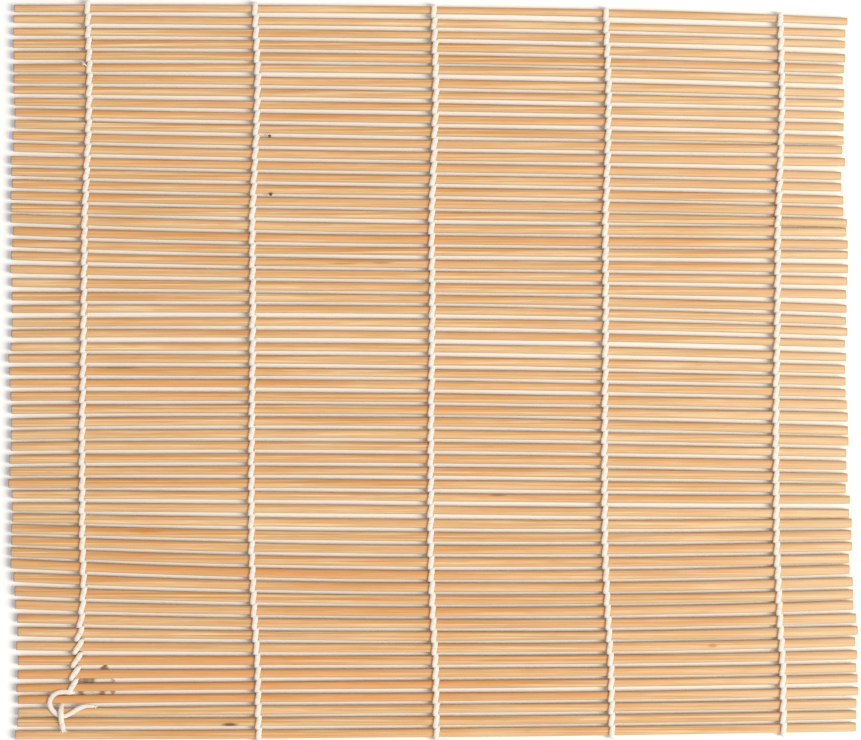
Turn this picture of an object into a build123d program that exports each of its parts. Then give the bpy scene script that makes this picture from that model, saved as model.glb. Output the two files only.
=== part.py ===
from build123d import *
import os
from math import asin, pi, radians, sin, tan

os.makedirs("parts", exist_ok=True)

# A rolling mat of flat bamboo slats, lying open on a table, in millimetres. The slats run along X,
# the mat rolls up along Y, and Z points up from the table. Five rows of cotton twine hold the slats:
# in each row two strands pass over and under alternate slats and cross in every gap. The mat is
# built as strips that bend at the gaps between them: one edge strip, then strips of two slats.

# Bamboo slats
slat_count = 60
edge_slat_count = 4
strip_slat_count = 2
slat_length = 240.0
slat_width = 2.4
slat_thickness = 1.5

# Cotton twine
row_count = 5
row_spacing = 50.0
twine_diameter = 0.96
strand_gap = 0.2
gap_play = 0.14
seat_clearance = 0.03
hinge_slit = 0.24
flat_share = 0.1

# How far the handmade mat strays from a true rectangle
wander = 1.7
spacing_drift = 1.45
taper = 2.6
ragged_end = 0.45
largest_tilt = 1.13

# Shares of the mat's depth, from the knotted edge, with shares of the values above
wander_shares = ((0, 0.53), (0.1, 0.36), (0.18, -0.17), (0.26, -0.5), (0.4, -0.55), (0.59, -0.34),
                 (0.7, -0.37), (0.81, 0.13), (0.89, 0.3), (1, -0.1))
spacing_shares = ((0, 0.1), (0.1, 0.1), (0.2, 0.34), (0.3, 0.62), (0.4, 0.81), (0.53, 0.98),
                  (0.62, 1), (0.7, 0.88), (0.8, 0.51), (0.9, 0.2), (1, -0.17))
tilt_shares = ((0, 0.54), (0.05, 0.54), (0.467, -0.69), (1, -1))
taper_shares = ((0, 0.46), (0.5, 0), (1, -1))
row_shift_shares = (0.018, -0.012, 0.018, 0.016, 0)

# The first row comes loose near the knotted edge: it drifts outwards and its strands part
loose_row = 0
loose_drift = 4.7
loose_spread = 1.1
drift_end_share = 0.2
spread_middle_share = 0.108
spread_reach_share = 0.05

# The tie strand comes up through one gap, arches over the loose end and goes down two gaps further
tie_gap = 3
tie_drift = 1.8
tie_lean = 0.3
tie_clearance = 0.1
tie_arch = 1.0
tie_tail = 0.4

# The loose end rises out of the hinge gap and curls over the edge slats, as points on their tops
loose_rise = 0.2
loose_lean = 0.35
loose_fold = 0.8
loose_end_places = ((-104.9, -93.0), (-107.5, -93.7), (-109.3, -95.4), (-109.0, -97.5),
                    (-107.2, -98.8), (-104.7, -98.5), (-102.0, -97.0), (-99.4, -95.6), (-96.8, -95.8))
arc_share = 0.45
fit_share = 0.97
scatter_step = 2.4

# Worked out from the sizes above, with heights over the table. The runs under the slats are
# pressed flat against the table.
slat_gap = twine_diameter + gap_play
pitch = slat_width + slat_gap
strip_count = (slat_count - edge_slat_count) // strip_slat_count
slat_top = slat_thickness / 2
middle_height = (1 - flat_share) * twine_diameter + seat_clearance + slat_top
run_height = slat_top + seat_clearance + twine_diameter / 2
strand_shift = (twine_diameter + strand_gap) / 2


def between(stations, share):
    """Value at a share of the depth, on straight lines between the stations."""
    for (low, low_value), (high, high_value) in zip(stations, stations[1:]):
        if share <= high:
            return low_value + (high_value - low_value) * (share - low) / (high - low)
    return stations[-1][1]


def stray(gap):
    """Sideways shift of the mat at a gap, counted from the knotted edge."""
    return wander * between(wander_shares, gap / slat_count)


def tilt(gap):
    """Angle in degrees between the X axis and the line of a gap."""
    return largest_tilt * between(tilt_shares, gap / slat_count)


def line_y(gap, x):
    """Y of a gap's line at x. A slat's centre line is half way between two gaps."""
    drift = spacing_drift * between(spacing_shares, gap / slat_count)
    return (gap - slat_count / 2) * pitch + drift + x * tan(radians(tilt(gap)))


def scatter(number):
    """A fixed uneven value from -1 to 1 for each slat."""
    return sin(scatter_step * number)


def twine_x(row, gap, side):
    """X of a strand in a gap: side -1 rises towards +Y there, and side 1 falls."""
    place = (row - (row_count - 1) / 2 + row_shift_shares[row]) * row_spacing + stray(gap)
    if row != loose_row:
        return place + side * strand_shift
    share = gap / slat_count
    drift = max(0, 1 - share / drift_end_share) / (1 - edge_slat_count / slat_count / drift_end_share)
    spread = max(0, 1 - ((share - spread_middle_share) / spread_reach_share) ** 2)
    return place - loose_drift * drift ** 2 + side * (strand_shift + loose_spread * spread)


def steep_reach(gap, x):
    """How far from a gap's middle a strand that grazes both slats reaches its level run."""
    half_gap = (line_y(gap + 0.5, x) - line_y(gap - 0.5, x) - slat_width) / 2
    return run_height / tan(asin(min(1, run_height / (half_gap + slat_top))))


def crossing(row, gap, side):
    """Where a strand crosses the slats' middle plane in a gap."""
    x = twine_x(row, gap, side)
    return Vector(x, line_y(gap, x), middle_height)


def corner(row, gap, side, ahead, height):
    """Where a strand's steep line and level run meet, ahead of a gap or behind it."""
    x = twine_x(row, gap, side)
    return Vector(x, line_y(gap, x) + ahead * steep_reach(gap, x), middle_height + height)


def woven_route(row, first_gap, last_gap, over):
    """Corners of one strand between two gaps, over and under the slats in turn."""
    route = [crossing(row, first_gap, -1 if over else 1)]
    for gap in range(first_gap, last_gap):
        side, height = (-1, run_height) if over else (1, -run_height)
        route += [corner(row, gap, side, 1, height), corner(row, gap + 1, -side, -1, height)]
        over = not over
    return route + [crossing(row, last_gap, -1 if over else 1)]


def folded_route(row, edge_gap, hinge_gap):
    """Corners of the twine that folds round the outer slat and is two strands at the hinge."""
    inward = 1 if hinge_gap > edge_gap else -1
    first_gap, last_gap = sorted((edge_gap, hinge_gap))
    strands = [woven_route(row, first_gap, last_gap, over) for over in (True, False)]
    if inward < 0:
        strands = [route[::-1] for route in strands]
    x = twine_x(row, edge_gap, 0)
    y = line_y(edge_gap + inward / 2, x) - inward * (slat_width / 2 + seat_clearance + twine_diameter / 2)
    first, second = [[Vector(x, y, route[1].Z)] + route[2:] for route in strands]
    return first[::-1] + second


def trimmed(route, start=True, end=True):
    """The route with half a slit taken off each end that lies on a hinge line."""
    first = route[0] + (route[1] - route[0]).normalized() * (hinge_slit / 2)
    last = route[-1] + (route[-2] - route[-1]).normalized() * (hinge_slit / 2)
    return [first if start else route[0]] + route[1:-1] + [last if end else route[-1]]


def wrap_radii(route):
    """Arc radii that follow the slats' round edges, held to what the runs beside each corner allow."""
    radii = []
    for number in range(1, len(route) - 1):
        before, after = route[number] - route[number - 1], route[number + 1] - route[number]
        room_before = before.length if number == 1 else before.length / 2
        room_after = after.length if number == len(route) - 2 else after.length / 2
        room = fit_share * min(room_before, room_after) / tan(radians(before.get_angle(after) / 2))
        radii.append(min(run_height, room))
    return radii


def cord(route, radii):
    """Round twine along straight runs and tangent arcs, flat where it meets the table."""
    with BuildLine() as path:
        FilletPolyline(*route, radius=radii)
    with BuildSketch(Plane(origin=route[0], z_dir=route[1] - route[0])) as section:
        Circle(twine_diameter / 2)
    with BuildPart() as strand:
        sweep(sections=section.sketch, path=path.line)
        split(bisect_by=Plane.XY, keep=Keep.TOP)
    return strand.part, path.wire().length


def wrap(route):
    """One strand wrapped round the slats."""
    return cord(route, wrap_radii(route))[0]


def cord_radii(route):
    """Arc radii that use a set share of the shorter run at each corner of a cord's route."""
    radii = []
    for before, at, after in zip(route, route[1:], route[2:]):
        half_turn = radians((at - before).get_angle(after - at) / 2)
        shorter = min((at - before).length, (after - at).length)
        radii.append(arc_share * shorter / tan(half_turn))
    return radii


def slat_plane(number):
    """Section plane at the left end of a slat, counted from 1 at the knotted edge, and its length."""
    middle = number - 0.5
    angle = tilt(middle)
    left = -slat_length / 2 + stray(middle) + ragged_end * scatter(number)
    right = slat_length / 2 + stray(middle) + ragged_end * scatter(number + slat_count)
    right += taper * between(taper_shares, middle / slat_count)
    along = Vector(1, 0, 0).rotate(Axis.Z, angle)
    across = Vector(0, 1, 0).rotate(Axis.Z, angle)
    start = Vector(left, line_y(middle, left), middle_height)
    return Plane(origin=start, x_dir=across, z_dir=along), right - left


def finish(part, name):
    """Labels a piece and writes it to its own file."""
    part.label = name
    export_step(part, f"parts/{name}.step")


# Edge slats: the four slats at the knotted edge
with BuildPart() as edge_slats:
    for number in range(1, edge_slat_count + 1):
        plane, length = slat_plane(number)
        with BuildSketch(plane):
            SlotOverall(slat_width, slat_thickness)
        extrude(amount=length)
finish(edge_slats.part, "edge_slats")

# Slat pairs: the two slats of each moving strip
for strip in range(1, strip_count + 1):
    first_slat = edge_slat_count + (strip - 1) * strip_slat_count + 1
    with BuildPart() as slat_pair:
        for number in range(first_slat, first_slat + strip_slat_count):
            plane, length = slat_plane(number)
            with BuildSketch(plane):
                SlotOverall(slat_width, slat_thickness)
            extrude(amount=length)
    finish(slat_pair.part, f"slat_pair_{strip:02d}")

# Edge twine: the four sound rows, folded round the outer slat of the knotted edge
edge_strands = []
for row in range(row_count):
    if row == loose_row:
        continue
    route = trimmed(folded_route(row, 0, edge_slat_count))
    edge_strands.append(wrap(route))
with BuildPart() as edge_twine:
    add(edge_strands)
finish(edge_twine.part, "edge_twine")

# Twine wraps: ten strands on each moving strip, and five folded ones on the last strip
for strip in range(1, strip_count + 1):
    first_gap = edge_slat_count + (strip - 1) * strip_slat_count
    last_gap = first_gap + strip_slat_count
    strands = []
    for row in range(row_count):
        if strip == strip_count:
            route = trimmed(folded_route(row, last_gap, first_gap))
            strands.append(wrap(route))
            continue
        for over in (True, False):
            route = trimmed(woven_route(row, first_gap, last_gap, over))
            strands.append(wrap(route))
    with BuildPart() as twine_wraps:
        add(strands)
    finish(twine_wraps.part, f"twine_wraps_{strip:02d}")

# Tie strand: one strand of the loose row, under a slat, up through a gap and over two slats
tie_start = crossing(loose_row, edge_slat_count, -1)
tie_under = corner(loose_row, edge_slat_count, -1, -1, -run_height)
tie_x = tie_start.X - tie_drift
tie_end_x = tie_x + tie_lean * (tie_gap - 1)
tie_middle_x = (tie_x + tie_end_x) / 2
tie_y = line_y(tie_gap, tie_x)
tie_middle_y = line_y(tie_gap - 1, tie_middle_x)
tie_end_y = line_y(tie_gap - 2, tie_end_x)
tie_reach = steep_reach(tie_gap, tie_x)
tie_top = middle_height + run_height
arch_top = tie_top + twine_diameter + tie_clearance
tie_route = [
    tie_start,
    tie_under,
    Vector(tie_x, tie_y + tie_reach, middle_height - run_height),
    Vector(tie_x, tie_y - tie_reach, tie_top),
    Vector(tie_middle_x, tie_middle_y + tie_arch, arch_top),
    Vector(tie_middle_x, tie_middle_y - tie_arch, arch_top),
    Vector(tie_end_x, tie_end_y + tie_reach, tie_top),
    Vector(tie_end_x, tie_end_y, middle_height - tie_tail),
]
with BuildPart() as tie_strand:
    add(wrap(trimmed(tie_route, end=False)))
finish(tie_strand.part, "tie_strand")

# Loose end: the other strand of the loose row, lying loose on the edge slats
loose_start = crossing(loose_row, edge_slat_count, 1)
loose_route = [loose_start, loose_start + Vector(0, -loose_lean, run_height + loose_rise)]
loose_route += [Vector(x, y, middle_height + run_height) for x, y in loose_end_places]
loose_route = trimmed(loose_route, end=False)
loose_radii = [loose_fold] + cord_radii(loose_route)[1:]
loose_cord, loose_length = cord(loose_route, loose_radii)
with BuildPart() as loose_end:
    add(loose_cord)
finish(loose_end.part, "loose_end")
print("Loose end: radii", [round(radius, 2) for radius in loose_radii])
print("Loose end: length", round(loose_length, 2), "and volume against section times length",
      round(loose_end.part.volume / (pi * twine_diameter ** 2 / 4 * loose_length), 4))

# The hinge lines, for whoever joins the strips
for strip in range(1, strip_count + 1):
    gap = edge_slat_count + (strip - 1) * strip_slat_count
    print(f"Hinge {strip:02d}: y {line_y(gap, 0):.4f} z {middle_height:.4f} tilt {tilt(gap):.4f}")
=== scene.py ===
# %% [markdown]
# # A bamboo rolling mat
#
# Sixty flat slats of bamboo lie side by side, and five rows of cotton twine hold them. In each row
# two strands pass over and under the slats in turn and cross in every gap, so they twist round each
# other half a turn a slat. The mat is so thin and so regular that it is worth making every slat and
# every strand by formula: one rule for where the gaps run, and everything else follows it.

# %% The frame
import math

import bpy
import numpy as np
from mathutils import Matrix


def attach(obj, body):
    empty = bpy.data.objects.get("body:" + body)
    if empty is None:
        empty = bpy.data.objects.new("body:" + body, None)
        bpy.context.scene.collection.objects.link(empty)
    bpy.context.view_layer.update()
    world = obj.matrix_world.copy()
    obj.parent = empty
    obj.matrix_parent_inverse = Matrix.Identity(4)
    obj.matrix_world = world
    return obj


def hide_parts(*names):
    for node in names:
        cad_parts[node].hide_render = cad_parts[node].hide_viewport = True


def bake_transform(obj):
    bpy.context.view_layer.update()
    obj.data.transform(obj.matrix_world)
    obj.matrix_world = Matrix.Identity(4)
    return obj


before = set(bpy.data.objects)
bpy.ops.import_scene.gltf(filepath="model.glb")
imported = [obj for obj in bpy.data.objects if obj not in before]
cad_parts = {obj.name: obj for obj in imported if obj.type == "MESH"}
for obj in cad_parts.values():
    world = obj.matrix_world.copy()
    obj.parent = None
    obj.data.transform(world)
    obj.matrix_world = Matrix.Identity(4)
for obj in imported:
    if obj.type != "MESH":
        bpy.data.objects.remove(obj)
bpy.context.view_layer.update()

MM = 0.001

# %% [markdown]
# ## The camera
#
# The mat is seen from straight above, so the camera looks down along Z with +Y at the top of the
# picture. A long lens from almost a metre keeps the rows parallel, as they are in the photograph.
# The picture is 861 pixels wide, and 3.496 of them are a millimetre at the slats' tops. The height
# over them is the width that is seen, times the lens's length, over the sensor's width.

# %% Camera
PICTURE_PIXELS, PIXELS_PER_MM = 861, 3.496
TOP_OF_SLATS = 2.4 * MM
VIEW_CENTRE = (-0.37 * MM, 0.72 * MM)
LENS_LENGTH, SENSOR_WIDTH = 135, 36

camera_data = bpy.data.cameras.new("camera")
camera_data.lens = LENS_LENGTH
camera_data.sensor_width = SENSOR_WIDTH
camera = bpy.data.objects.new("camera", camera_data)
bpy.context.scene.collection.objects.link(camera)
seen_width = PICTURE_PIXELS / PIXELS_PER_MM * MM
height = seen_width * LENS_LENGTH / SENSOR_WIDTH
camera.location = (*VIEW_CENTRE, TOP_OF_SLATS + height)
bpy.context.scene.camera = camera
print("camera height, mm:", round(camera.location.z / MM))

# %% [markdown]
# ## Where everything is
#
# A handmade mat isn't a true rectangle. Its slats fan out a little, the rows wander sideways, and
# the slats' ends are uneven. Each of these is a smooth change along the mat's depth, so it can be a
# short list of stations with straight lines between them: a share of the depth, and a value. The
# mat's wander to the side, the drift of its spacing and the rows' own places are in millimetres,
# and the slats' tilt is in degrees. The gaps are counted from the knotted edge, 0 to 60, and a
# slat's middle is half way between two gaps, at 0.5, 1.5 and so on. The slats' middles lie at one
# height, and a strand's middle runs above or below it on a slat.

# %% Sizes of the mat
SLATS = 60
EDGE_SLATS = 4
STRIP_SLATS = 2
STRIPS = (SLATS - EDGE_SLATS) // STRIP_SLATS
ROWS = 5
SLAT_LENGTH, SLAT_WIDTH, SLAT_THICKNESS = 240 * MM, 2.4 * MM, 1.5 * MM
PITCH, ROW_SPACING = 3.5 * MM, 50 * MM
MIDDLE = 1.644 * MM
RUN = 1.26 * MM
SIDE_SHIFT = 0.32 * MM

WANDER = ((0, 0.9), (0.1, 0.61), (0.18, -0.29), (0.26, -0.85), (0.4, -0.94), (0.59, -0.58),
          (0.7, -0.63), (0.81, 0.22), (0.89, 0.51), (1, -0.17))
DRIFT = ((0, 0.145), (0.1, 0.145), (0.2, 0.493), (0.3, 0.899), (0.4, 1.175), (0.53, 1.421),
         (0.62, 1.45), (0.7, 1.276), (0.8, 0.74), (0.9, 0.29), (1, -0.247))
TILT = ((0, 0.61), (0.05, 0.61), (0.467, -0.78), (1, -1.13))
ROW_SHIFT = (0.9, -0.6, 0.9, 0.8, 0)


def along_depth(stations, gap):
    """Value at a gap, on straight lines between (share of the depth, value) stations."""
    shares, values = np.array(stations).T
    return np.interp(np.asarray(gap) / SLATS, shares, values)


print("strips that bend:", STRIPS, "and", EDGE_SLATS, "slats at the edge")

# %% [markdown]
# Bamboo strips are seldom straight. Between the rows of twine they bow by up to two millimetres,
# and neighbours bow alike, because they press on each other through the twine. A bow is a cubic
# curve along the slat, and its four numbers change slowly from slat to slat. The twine has to
# follow the same bows, so one function gives the height up the mat of any point of any gap.

# %% The line of a gap
BOW_STATIONS = np.array((0, 4, 8, 12, 15, 18, 21, 25, 33, 39, 44, 50, 55, 60)) / SLATS
BOWS = np.array((
    (-0.13, -0.13, 0.36, -0.08), (-0.19, -0.61, 0.41, 0.62), (-0.35, -0.65, 1.05, 0.34),
    (-0.69, -0.74, 1.99, -0.08), (-0.68, -0.58, 1.83, -0.23), (-0.2, -0.64, 0.58, 0.34),
    (0.3, -0.31, -0.74, 0.22), (0.41, -0.04, -1.22, 0.23), (0.46, 0.26, -1.29, -0.06),
    (-0.07, 0.63, 0.45, -0.59), (-0.03, 0.35, -0.03, -0.57), (0.08, 0.15, -0.24, -0.33),
    (0.41, 0.07, -1.1, 0.18), (0.33, 0.59, -0.96, -0.41)))


def bow(gap, x):
    """Cubic in x over half a slat's length, whose four numbers are interpolated along the depth."""
    share = np.asarray(gap) / SLATS
    along = x / (SLAT_LENGTH / 2)
    return MM * sum(np.interp(share, BOW_STATIONS, BOWS[:, power]) * along ** power
                    for power in range(4))


def line_y(gap, x):
    """Even spacing, plus the drift of the spacing, plus x times the tilt's slope, plus the bow."""
    slope = np.tan(np.radians(along_depth(TILT, gap)))
    return (gap - SLATS / 2) * PITCH + MM * along_depth(DRIFT, gap) + x * slope + bow(gap, x)


def stray(gap):
    """Sideways shift of the whole mat at a gap."""
    return MM * along_depth(WANDER, gap)


bows = [bow(gap, -SLAT_LENGTH / 2) / MM for gap in (2, 12, 24, 40, 58)]
print("bow at the left end, mm:", np.round(bows, 1))

# %% [markdown]
# ## Closed tubes from rings
#
# A slat and a strand of twine are the same thing to a mesh: a ring of points carried along a path.
# A tube could be made with a curve and a bevel, but a curve gives one round section, and both the
# slats and the pressed twine change their section as they go. So every piece is a grid of rings,
# worked out as whole arrays, with a point in the middle of each end to close it. The walls are
# shaded smooth and the ends flat, so that no dark line shows where one stretch of twine meets the
# next.

# %% Rings to a mesh
def tube_faces(rings, around, first):
    """Quads between each ring and the next, and a fan of triangles to a pole at each end."""
    ring, spot = np.meshgrid(np.arange(rings - 1), np.arange(around), indexing="ij")
    here = first + ring * around + spot
    beside = first + ring * around + (spot + 1) % around
    quads = np.stack([here, beside, beside + around, here + around], -1).reshape(-1, 4)
    spot = np.arange(around)
    following = (spot + 1) % around
    last = first + (rings - 1) * around
    pole = np.full(around, first + rings * around)
    start = np.stack([first + following, first + spot, pole], -1)
    end = np.stack([last + spot, last + following, pole + 1], -1)
    return quads, np.concatenate([start, end])


def with_poles(grid):
    """A grid of triples as one list, followed by the means of its first and its last ring."""
    return np.concatenate([grid.reshape(-1, 3), grid[[0, -1]].mean(1)])


def tubes_object(name, tubes, material):
    """One object from several tubes. Each is a dict: rings (n, around, 3), and values by name."""
    points, quads, triangles, first = [], [], [], 0
    values = {key: [] for key in tubes[0] if key != "rings"}
    for tube in tubes:
        count, around = tube["rings"].shape[:2]
        sides, ends = tube_faces(count, around, first)
        quads.append(sides)
        triangles.append(ends)
        points.append(with_poles(tube["rings"]))
        for key in values:
            values[key].append(with_poles(tube[key]))
        first += count * around + 2
    mesh = bpy.data.meshes.new(name)
    mesh.from_pydata(np.concatenate(points).tolist(), [],
                     np.concatenate(quads).tolist() + np.concatenate(triangles).tolist())
    walls = sum(len(part) for part in quads)
    mesh.polygons.foreach_set("use_smooth", np.arange(len(mesh.polygons)) < walls)
    for key, parts in values.items():
        layer = mesh.attributes.new(key, "FLOAT_VECTOR", "POINT")
        layer.data.foreach_set("vector", np.concatenate(parts).astype(np.float32).ravel())
    mesh.materials.append(material)
    made = bpy.data.objects.new(name, mesh)
    bpy.context.scene.collection.objects.link(made)
    return made


print("faces of a tube of 3 rings of 8 points:", [len(faces) for faces in tube_faces(3, 8, 0)])

# %% [markdown]
# ## Finishes
#
# Both bamboo and cotton are made of fibres, so both need streaks: noise that is stretched along one
# direction. That is one node group, used with different lengths and widths. It reads any vector, so
# on bamboo it gets places in the object and on twine it gets places round and along the strand. Its
# stretch is how often the noise changes in a metre along each axis, so a small first number makes
# long streaks along X. A few helpers come first, so that a finish reads like a formula.

# %% Helpers for nodes
def join(tree, source, target):
    """Feeds a socket from another socket, or with a plain number, vector or colour."""
    if isinstance(source, bpy.types.NodeSocket):
        tree.links.new(source, target)
    else:
        target.default_value = source


def calculate(tree, operation, first, second=0.0, third=0.0):
    """A Math node on sockets or plain numbers, held between 0 and 1."""
    node = tree.nodes.new("ShaderNodeMath")
    node.operation = operation
    node.use_clamp = True
    for socket, value in zip(node.inputs, (first, second, third)):
        join(tree, value, socket)
    return node.outputs[0]


def vector_maths(tree, operation, first, second=(0, 0, 0)):
    """A Vector Math node. Its answer is a number for a length, and a vector otherwise."""
    node = tree.nodes.new("ShaderNodeVectorMath")
    node.operation = operation
    join(tree, first, node.inputs[0])
    join(tree, second, node.inputs[1])
    return node.outputs["Value" if operation == "LENGTH" else "Vector"]


def map_range(tree, value, start, end):
    """A Map Range node: 0 at the start value, 1 at the end value, a straight line between."""
    node = tree.nodes.new("ShaderNodeMapRange")
    for name, source in (("Value", value), ("From Min", start), ("From Max", end)):
        join(tree, source, node.inputs[name])
    return node.outputs["Result"]


def mask_group(name, vectors, numbers=()):
    """An empty node group with these inputs, and a mask as its only output."""
    tree = bpy.data.node_groups.new(name, "ShaderNodeTree")
    for names, kind in ((vectors, "NodeSocketVector"), (numbers, "NodeSocketFloat")):
        for each in names:
            tree.interface.new_socket(each, in_out="INPUT", socket_type=kind)
    tree.interface.new_socket("Mask", in_out="OUTPUT", socket_type="NodeSocketFloat")
    return tree, tree.nodes.new("NodeGroupInput").outputs, tree.nodes.new("NodeGroupOutput")


# %% The streaks group
def streaks_group():
    """Noise of a stretched vector, brought to a mask with a set contrast round its middle."""
    tree, given, out = mask_group("fibre_streaks", ("Place", "Stretch"), ("Low", "High"))
    noise = tree.nodes.new("ShaderNodeTexNoise")
    noise.inputs["Scale"].default_value = 1
    noise.inputs["Detail"].default_value = 3
    join(tree, vector_maths(tree, "MULTIPLY", given["Place"], given["Stretch"]),
         noise.inputs["Vector"])
    mask = map_range(tree, noise.outputs["Fac"], given["Low"], given["High"])
    join(tree, mask, out.inputs["Mask"])
    return tree


STREAKS = streaks_group()
print("nodes in the streaks group:", len(STREAKS.nodes))

# %% [markdown]
# Colours are easiest to choose as they look on a screen, from 0 to 255, but shaders want linear
# light, so one helper turns one into the other. The others place a group in a material and lay
# colours over each other by masks, as thin washes of stain are laid on wood.

# %% Helpers for materials
def screen_colour(red, green, blue):
    """Linear colour of a screen colour: the sRGB curve undone."""
    share = np.array((red, green, blue)) / 255
    linear = np.where(share > 0.04045, ((share + 0.055) / 1.055) ** 2.4, share / 12.92)
    return (*linear.tolist(), 1)


def new_material(name):
    """An empty material with its Principled shader, joined to the output."""
    material = bpy.data.materials.new(name)
    material.use_nodes = True
    tree = material.node_tree
    tree.nodes.clear()
    shader = tree.nodes.new("ShaderNodeBsdfPrincipled")
    output = tree.nodes.new("ShaderNodeOutputMaterial")
    join(tree, shader.outputs["BSDF"], output.inputs["Surface"])
    return material, tree, shader


def mask_of(tree, group, *inputs):
    """Places a group, feeds its inputs in their order, and returns its mask."""
    node = tree.nodes.new("ShaderNodeGroup")
    node.node_tree = group
    for socket, value in zip(node.inputs, inputs):
        join(tree, value, socket)
    return node.outputs["Mask"]


def lay_over(tree, under, mask, colour):
    """One colour over another: under times (1 - mask), plus colour times mask."""
    node = tree.nodes.new("ShaderNodeMix")
    node.data_type = "RGBA"
    for name, value in (("Factor", mask), ("A", under), ("B", colour)):
        join(tree, value, node.inputs[name])
    return node.outputs["Result"]


def washes(tree, colour, layers):
    """Washes over a screen colour in turn, each a mask, its strength and a screen colour."""
    colour = screen_colour(*colour)
    for mask, strength, shade in layers:
        share = calculate(tree, "MULTIPLY", mask, strength)
        colour = lay_over(tree, colour, share, screen_colour(*shade))
    return colour


# %% Attributes and bump
def attribute_parts(tree, name):
    """The three numbers of a mesh attribute, and the whole as a vector."""
    node = tree.nodes.new("ShaderNodeAttribute")
    node.attribute_name = name
    split = tree.nodes.new("ShaderNodeSeparateXYZ")
    join(tree, node.outputs["Vector"], split.inputs[0])
    return split.outputs["X"], split.outputs["Y"], split.outputs["Z"], node.outputs["Vector"]


def bump_from(tree, shader, heights, distance):
    """Bump from a height that is the sum of masks times weights."""
    total = 0.0
    for mask, weight in heights:
        total = calculate(tree, "MULTIPLY_ADD", mask, weight, total)
    node = tree.nodes.new("ShaderNodeBump")
    node.inputs["Strength"].default_value = 1
    node.inputs["Distance"].default_value = distance
    join(tree, total, node.inputs["Height"])
    join(tree, node.outputs["Normal"], shader.inputs["Normal"])


# %% [markdown]
# Split bamboo is honey-coloured, with fine pores that run the whole length of a slat. Slats differ:
# some are pale, some orange-brown. The upper long edge is darkened with painted shade, the lower
# one is lightened with painted light, and the right side of the mat is paler with a painted sheen
# from the lamp on the right. Each slat carries these, its tone and its warmth as attributes, and
# the streaks read the point's place in the object.
#
# Where a branch grew, or the skin was hurt, the wood keeps a small brown mark. Two thin dark marks
# at the left ends stand for splits: their dark is painted shade in the cracks. There are only a
# few, each an ellipse at its own place, so a small group makes one and the material uses it often.
# A mark is its middle's X and Y and its two half lengths, in millimetres, a strength and a colour.

# %% Marks on the bamboo
DARK, BROWN, ORANGE = (84, 46, 26), (140, 84, 40), (206, 116, 44)
MARKS = (
    (-46.4, 67.7, 1.1, 0.75, 0.9, DARK), (-46.1, 51.0, 1.1, 0.8, 0.95, DARK),
    (-44.9, -73.2, 0.8, 0.4, 0.7, DARK), (-57.8, -100.7, 3.0, 0.7, 0.95, (112, 62, 30)),
    (80.3, -78.1, 1.8, 0.7, 0.75, ORANGE), (-82.2, -45.3, 6.5, 0.8, 0.75, (204, 120, 30)),
    (18.7, -35.1, 3.0, 0.45, 0.6, BROWN), (-89.3, 1.3, 8.0, 0.4, 0.6, BROWN),
    (-14.3, 31.4, 4.0, 0.35, 0.5, BROWN), (-25.5, 31.1, 5.0, 0.3, 0.45, BROWN),
    # The thin marks at X -119.0 and -119.2 stand for splits: their dark is painted shade in the
    # cracks.
    (25.3, -94.7, 6.0, 0.35, 0.4, BROWN), (-119.0, 82.4, 3.0, 0.2, 0.8, BROWN),
    (-119.2, 49.4, 3.5, 0.2, 0.8, BROWN), (112.0, 48.0, 9.0, 0.4, 0.5, BROWN))


def spot_group():
    """An ellipse from above: 0 where (place - centre) / size is 1 long, 1 where it is 0.35."""
    tree, given, out = mask_group("brown_spot", ("Place", "Centre", "Size"))
    away = vector_maths(tree, "SUBTRACT", given["Place"], given["Centre"])
    share = vector_maths(tree, "DIVIDE", away, given["Size"])
    length = vector_maths(tree, "LENGTH", share)
    join(tree, map_range(tree, length, 1, 0.35), out.inputs["Mask"])
    return tree


SPOT = spot_group()
print("marks:", len(MARKS))

# %% Bamboo
def bamboo_material():
    """Honey wood: tone by slat, long streaks, painted shade and light, and a few brown marks."""
    material, tree, shader = new_material("split_bamboo")
    tone, warmth, painted_edge_shade, _ = attribute_parts(tree, "slat_look")
    end, painted_edge_light, painted_sheen, _ = attribute_parts(tree, "slat_end")
    place = tree.nodes.new("ShaderNodeTexCoord").outputs["Object"]
    broad = mask_of(tree, STREAKS, place, (16, 1700, 900), 0.39, 0.61)
    fine = mask_of(tree, STREAKS, place, (40, 4200, 2500), 0.36, 0.66)
    pores = mask_of(tree, STREAKS, place, (160, 9000, 5000), 0.56, 0.74)
    patches = mask_of(tree, STREAKS, place, (60, 260, 200), 0.35, 0.7)
    rosy = mask_of(tree, STREAKS, place, (75, 1000, 410), 0.5, 0.68)
    green = mask_of(tree, STREAKS, place, (85, 800, 370), 0.5, 0.68)
    marks = [(mask_of(tree, SPOT, place, (x * MM, y * MM, MIDDLE), (long * MM, wide * MM, 1)),
              strength, shade) for x, y, long, wide, strength, shade in MARKS]
    colour = washes(tree, (202, 136, 62), (
        (broad, 1, (255, 228, 178)), (tone, 0.6, (255, 222, 170)),
        (warmth, 0.75, (228, 140, 52)), (patches, 0.4, (240, 154, 74)),
        (rosy, 0.45, (246, 184, 136)), (green, 0.45, (216, 172, 94)),
        (fine, 0.6, (206, 144, 78)), (pores, 0.45, (160, 106, 56)),
        # Painted light: the lower long edge lightened; and a painted sheen that pales the right
        # side.
        (painted_edge_light, 0.55, (216, 196, 158)), (painted_sheen, 0.5, (246, 219, 178)),
        # Painted shade: the upper long edge darkened, and the cut ends browned, partly as painted
        # shade.
        (painted_edge_shade, 0.47, (158, 110, 62)), (end, 0.6, (130, 88, 54)), *marks))
    join(tree, colour, shader.inputs["Base Color"])
    join(tree, calculate(tree, "MULTIPLY_ADD", fine, 0.14, 0.48), shader.inputs["Roughness"])
    shader.inputs["Specular IOR Level"].default_value = 0.55
    bump_from(tree, shader, ((fine, 0.5), (broad, 0.3), (pores, 0.2)), 0.05 * MM)
    return material


BAMBOO = bamboo_material()
print("nodes in the bamboo:", len(BAMBOO.node_tree.nodes))
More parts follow.
